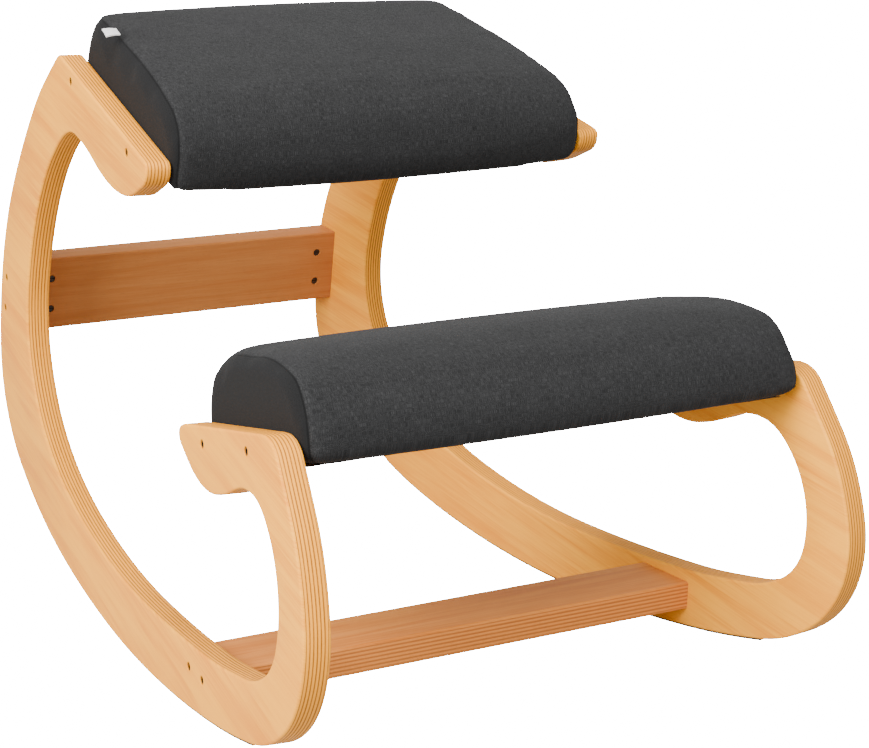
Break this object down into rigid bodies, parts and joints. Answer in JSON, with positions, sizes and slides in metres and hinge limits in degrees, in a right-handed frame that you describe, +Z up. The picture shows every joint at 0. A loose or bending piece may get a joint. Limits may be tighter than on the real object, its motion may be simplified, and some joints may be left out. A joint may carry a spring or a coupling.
{
  "type": "kneeling chair",
  "caption": "Rocking kneeling chair: splayed curved plywood side frames on rockers, padded seat and padded knee rest between them, two cross rails.",
  "frame": {"origin": "middle of the bounding box's bottom, on the floor under the chair as it balances on its rockers", "axes": "+Z up, +Y to the back of the chair, -Y to the front where the knees rest, +X across to the sitter's left"},
  "size_m": [0.4936, 0.7306, 0.4938],
  "materials": {
    "plywood": "satin",
    "rail_wood": "satin",
    "board_ply": "matte",
    "cover_fabric": "matte",
    "dust_cloth": "matte",
    "label_cloth": "matte",
    "bolt_steel": "satin",
    "nut_steel": "satin",
    "grip_rubber": "matte"
  },
  "bodies": {
    "root": {"back_rail": "rail_wood", "back_rail_bolts": "bolt_steel", "back_rail_nuts": "nut_steel", "foot_rail": "plywood", "foot_rail_bolts": "bolt_steel", "foot_rail_nuts": "nut_steel", "grip_strip_left": "grip_rubber", "grip_strip_right": "grip_rubber", "knee_board": "board_ply", "knee_bolts": "bolt_steel", "knee_cushion": "cover_fabric", "knee_dust_cover": "dust_cloth", "knee_nuts": "nut_steel", "label_tab": "label_cloth", "seat_board": "board_ply", "seat_bolts": "bolt_steel", "seat_cushion": "cover_fabric", "seat_dust_cover": "dust_cloth", "seat_nuts": "nut_steel", "side_frame_left": "plywood", "side_frame_right": "plywood"}
  },
  "joints": []
}
